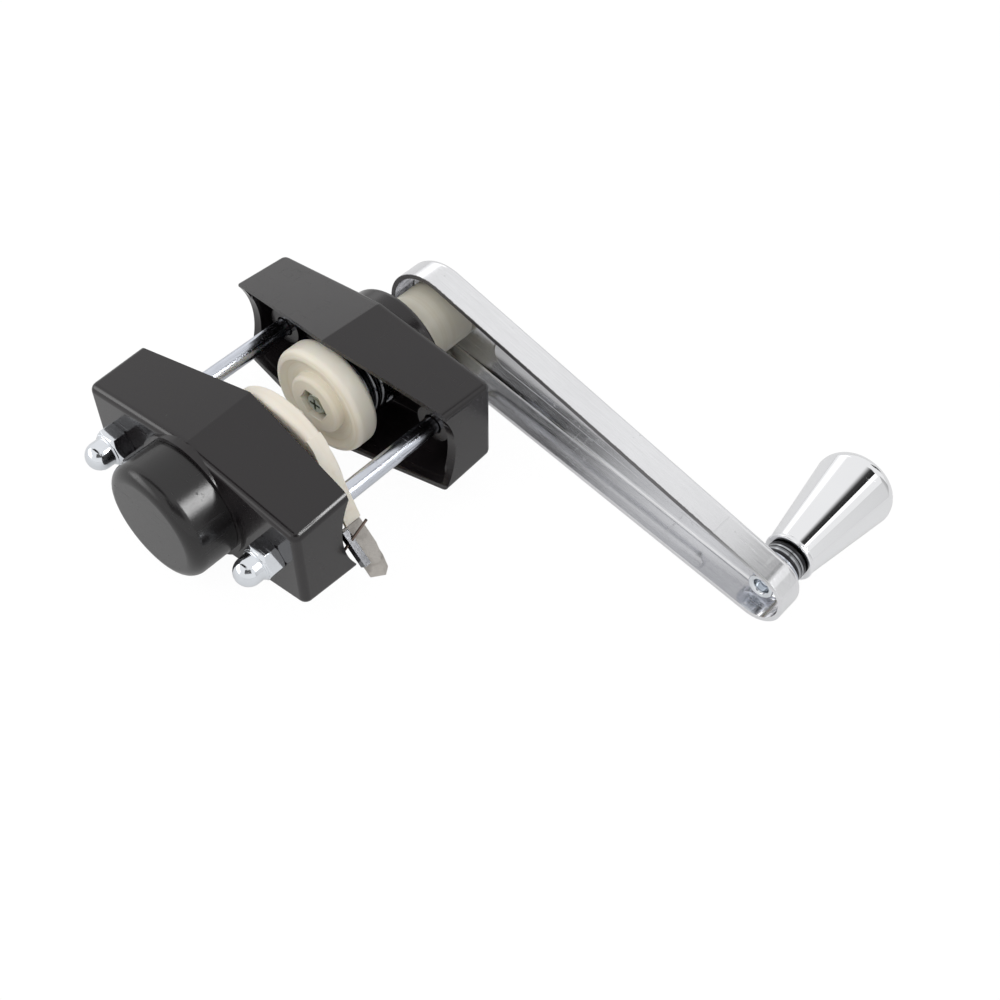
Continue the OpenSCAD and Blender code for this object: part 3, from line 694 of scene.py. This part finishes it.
def knob_body():
    """Conical knob with a fine rim at the arm and a domed end, bored for its bush."""
    profile = [(KNOB_BORE_R, KNOB_Y)]
    profile += arc(KNOB_R1 - KNOB_RIM_R, KNOB_Y + KNOB_RIM_R, KNOB_RIM_R, -90, 60, 10)
    profile += arc(KNOB_R1 - KNOB_GROOVE_OFFSET, KNOB_Y + KNOB_GROOVE_H, KNOB_GROOVE_R, 240, 120, 6)
    profile += [(KNOB_R2, KNOB_END_Y - KNOB_DOME_R)]
    profile += arc(KNOB_R2 - KNOB_DOME_R, KNOB_END_Y - KNOB_DOME_R, KNOB_DOME_R, 6, 90, 24)
    profile += [(0, KNOB_END_Y), (0, KNOB_BORE_END), (KNOB_BORE_R, KNOB_BORE_END)]
    return turned(profile, (KNOB_X, KNOB_Z), 160)


def rivet_lip():
    """Rolled open end of the hollow rivet, standing out of its head inside the arm's channel."""
    flare_y = LIP_Y + 2 * LIP_FLARE_R
    profile = [(0, RIVET_BORE_END), (0, RIVET_END_Y), (RIVET_R, RIVET_END_Y)]
    profile += arc(RIVET_R + LIP_FLARE_R, flare_y, LIP_FLARE_R, 180, 240, 5)
    profile += arc(LIP_R - LIP_EDGE_R, LIP_Y + LIP_EDGE_R, LIP_EDGE_R, 40, -90, 8)
    profile += arc(RIVET_BORE_R + LIP_MOUTH_R, LIP_Y + LIP_MOUTH_R, LIP_MOUTH_R, -90, -180, 8)
    profile += [(RIVET_BORE_R, RIVET_BORE_END - RIVET_BORE_POINT)]
    return turned(profile, (KNOB_X, KNOB_Z), 72)


stand_piece("rivet_lip", rivet_lip(), nut_chrome, "crank", sharp=40)
stand_piece("knob_body", knob_body(), knob_chrome, "grip", ["knob"], sharp=35)


# Floor and studio

# The floor lies on the points that the winch rests on: its height under the pole in mm, and its upward axis
FLOOR_Z = -21.8
FLOOR_UP = (0.1516, 0.0047, 0.9884)
FLOOR_HALF_WIDTH = 4.0
FLOOR_SEEN_THROUGH = 0.92
FLOOR_GLOW_IN_GLOSS = 0.3
HORIZON_START = 1.0
HORIZON_END = 1.6
HORIZON_GLOW = 0.15

# The lamp's bearing and height are in degrees, seen from the point it aims at
LAMP_AIM = Vector((0.045, 0.03, 0.0))
LAMP_BEARING = -100
LAMP_HEIGHT = 50
LAMP_DISTANCE = 0.9
LAMP_SIZE = 0.3
LAMP_BRIGHTNESS = 5.0

# White surroundings: their strength as light, and what is added where they are seen or mirrored
WORLD_LIGHT = 0.75
WORLD_SEEN = (("Is Camera Ray", 0.3), ("Is Glossy Ray", 0.15), ("Is Transmission Ray", 0.25))


def bare(name):
    """A new material without a shader, with its recipe and its output."""
    material, r, shader = shaded(name)
    r.tree.nodes.remove(shader)
    return material, r, r.tree.nodes["Material Output"]


def stage_sheet(name, bm, material):
    """Makes a flat sheet of the studio from its bmesh."""
    mesh = bpy.data.meshes.new(name)
    bm.to_mesh(mesh)
    bm.free()
    mesh.materials.append(material)
    sheet = bpy.data.objects.new(name, mesh)
    scene.collection.objects.link(sheet)
    return sheet


def floor_finish():
    """Matt and pale, mostly clear to the camera, a plain glow in gloss that fades far away."""
    material, r, output = bare("pale_floor")
    plain = r.node("BsdfDiffuse")
    plain.inputs["Color"].default_value = (0.8, 0.8, 0.8, 1)
    ray = r.node("LightPath").outputs
    reach = r.node("VectorMath", operation="LENGTH")
    r.feed(reach, 0, r.node("TexCoord").outputs["Object"])
    glow = r.node("Emission")
    r.feed(glow, "Strength", r.ramp(reach.outputs["Value"], HORIZON_START, HORIZON_END, 1.0, HORIZON_GLOW))
    in_gloss = r.math("MULTIPLY", ray["Is Glossy Ray"], FLOOR_GLOW_IN_GLOSS)
    shown = r.blend(in_gloss, plain.outputs[0], glow.outputs[0])
    seen_through = r.math("MULTIPLY", ray["Is Camera Ray"], FLOOR_SEEN_THROUGH)
    r.feed(output, "Surface", r.blend(seen_through, shown, r.node("BsdfTransparent").outputs[0]))
    return material


def studio_floor():
    """Floor under the winch at rest, with a faint shadow; a crank turned below it stays in view."""
    bm = bmesh.new()
    bmesh.ops.create_grid(bm, x_segments=1, y_segments=1, size=FLOOR_HALF_WIDTH)
    tilt = Vector((0, 0, 1)).rotation_difference(Vector(FLOOR_UP)).to_matrix()
    bmesh.ops.rotate(bm, verts=bm.verts, cent=(0, 0, 0), matrix=tilt)
    bmesh.ops.translate(bm, verts=bm.verts, vec=(0, 0, FLOOR_Z * MM))
    stage_sheet("studio_floor", bm, floor_finish())


def key_softbox():
    """Soft lamp above the front; it shows in no gloss, where the cards take its place."""
    bearing, height = math.radians(LAMP_BEARING), math.radians(LAMP_HEIGHT)
    level = math.cos(height)
    away = Vector((math.cos(bearing) * level, math.sin(bearing) * level, math.sin(height)))
    lamp = bpy.data.lights.new("key_softbox", "AREA")
    lamp.shape = "RECTANGLE"
    lamp.size = LAMP_SIZE
    lamp.size_y = LAMP_SIZE
    lamp.energy = LAMP_BRIGHTNESS * math.pi * LAMP_SIZE * LAMP_SIZE
    holder = bpy.data.objects.new("key_softbox", lamp)
    holder.location = LAMP_AIM + LAMP_DISTANCE * away
    holder.rotation_euler = (LAMP_AIM - holder.location).to_track_quat("-Z", "Y").to_euler()
    holder.visible_glossy = False
    scene.collection.objects.link(holder)


def card_glow(name, corners, levels, clear_back):
    """Light that changes from the card's first edge to its far edge, as levels say."""
    start = (Vector(corners[0]) + Vector(corners[1])) / 2
    way = (Vector(corners[2]) + Vector(corners[3])) / 2 - start
    way /= way.length_squared
    material, r, output = bare(name)
    along = r.node("VectorMath", operation="DOT_PRODUCT")
    r.feed(along, 0, r.node("TexCoord").outputs["Object"])
    r.feed(along, 1, way)
    share = r.math("SUBTRACT", along.outputs["Value"], way.dot(start))
    strength = levels[0][1]
    for (low, before), (high, after) in zip(levels, levels[1:]):
        strength = r.math("ADD", strength, r.ramp(share, low, high, 0.0, after - before, "SMOOTHSTEP"))
    glow = r.node("Emission")
    r.feed(glow, "Strength", strength)
    shown = glow.outputs[0]
    if clear_back:
        behind = r.node("NewGeometry").outputs["Backfacing"]
        shown = r.blend(behind, shown, r.node("BsdfTransparent").outputs[0])
    r.feed(output, "Surface", shown)
    return material


def card(name, corners, levels, clear_back=False):
    """Four-cornered card that shows in gloss only; levels are (share of the way, brightness)."""
    bm = bmesh.new()
    bm.faces.new([bm.verts.new(corner) for corner in corners])
    sheet = stage_sheet(name, bm, card_glow(name, corners, levels, clear_back))
    sheet.visible_camera = False
    sheet.visible_diffuse = False
    sheet.visible_shadow = False


def studio_world():
    """White surroundings, a little weaker as light than as background."""
    world = bpy.data.worlds.new("studio")
    scene.world = world
    world.use_nodes = True
    r = Recipe(world.node_tree)
    ray = r.node("LightPath").outputs
    strength = WORLD_LIGHT
    for kind, added in WORLD_SEEN:
        strength = r.math("MULTIPLY_ADD", ray[kind], added, strength)
    background = r.tree.nodes["Background"]
    r.feed(background, "Strength", strength)
    r.feed(background, "Color", (1, 1, 1, 1))


studio_floor()
studio_world()
key_softbox()

# Cards in metres that glow in gloss only, each a painted reflection: bright ones are painted highlights, dark
# ones painted shade; named for where they stand or for what they show in
card("back_card",
     ((-0.78, 0.41, 0.12), (-0.482, 0.778, 0.12), (-0.482, 0.778, 0.64), (-0.78, 0.41, 0.64)),
     ((0.0, 0.9), (0.5, 1.5), (1.0, 0.9)))
card("right_card",
     ((0.42, 0.0, -0.06), (0.42, 0.0, 0.1), (0.25, 0.33, 0.1), (0.25, 0.33, -0.06)),
     ((0.0, 0.6), (0.4, 0.8), (1.0, 0.45)))
# Painted reflection: a soft darker spot of painted shade in the gloss of the arm's flange near the knob.
card("arm_end_shade",
     ((0.2, 0.4, 0.505), (0.2, 0.49, 0.505), (0.33, 0.49, 0.47), (0.33, 0.4, 0.47)),
     ((0.0, 0.95), (0.4, 0.3), (1.0, 0.35)))
card("cap_strip",
     ((0.757, 0.18, 0.275), (0.757, 0.272, 0.275), (0.396, 0.272, 0.70), (0.396, 0.18, 0.70)),
     ((0.0, 1.0), (0.4, 19.0), (0.6, 19.0), (1.0, 1.0)))
card("knob_strip",
     ((0.46, 0.24, 0.37), (0.46, 0.385, 0.37), (0.13, 0.385, 0.56), (0.13, 0.24, 0.56)),
     ((0.0, 1.1), (0.24, 1.6), (0.26, 0.02), (0.55, 0.04), (1.0, 0.9)))
card("rim_card",
     ((-0.795, -0.195, 0.125), (-0.795, -0.195, 0.45), (-0.18, -0.81, 0.45), (-0.18, -0.81, 0.125)),
     ((0.0, 1.0), (0.35, 3.2), (1.0, 1.5)))
card("camera_card",
     ((0.22, -0.56, 0.3), (0.62, -0.2, 0.3), (0.5, -0.1, 0.66), (0.12, -0.45, 0.66)),
     ((0.0, 0.3), (0.3, 0.1), (0.7, 0.1), (1.0, 0.3)))
card("channel_shade",
     ((-0.14, -0.088, 0.1), (-0.14, -0.088, 0.25), (0.09, -0.088, 0.25), (0.09, -0.088, 0.1)),
     ((0.0, 0.03), (0.66, 0.03), (0.86, 0.7), (1.0, 0.9)), clear_back=True)
card("far_edge",
     ((0.14, 0.62, -0.05), (0.22, 0.62, -0.05), (0.18, 0.62, 0.14), (0.10, 0.62, 0.14)),
     ((0.0, 0.05), (1.0, 0.1)))


# Camera

CAMERA_PLACE = (0.22584, -0.1701, 0.2927)
VIEW_TURN = 41.320
VIEW_DROP = 49.782
VIEW_ROLL = 0.103
SENSOR_WIDTH = 36
FOCAL_SHARE = 1.440


def photo_camera():
    """Camera with the photograph's view: turned from +Y towards -X, dropped below level, and rolled."""
    data = bpy.data.cameras.new("photo_camera")
    data.sensor_width = SENSOR_WIDTH
    data.lens = FOCAL_SHARE * SENSOR_WIDTH
    data.clip_start = 0.01
    data.clip_end = 50
    camera = bpy.data.objects.new("photo_camera", data)
    turn = Matrix.Rotation(math.radians(VIEW_TURN), 4, "Z")
    drop = Matrix.Rotation(math.radians(90 - VIEW_DROP), 4, "X")
    roll = Matrix.Rotation(math.radians(VIEW_ROLL), 4, "Z")
    camera.matrix_world = Matrix.Translation(CAMERA_PLACE) @ turn @ drop @ roll
    scene.collection.objects.link(camera)
    scene.camera = camera


photo_camera()
scene.view_settings.view_transform = "Standard"
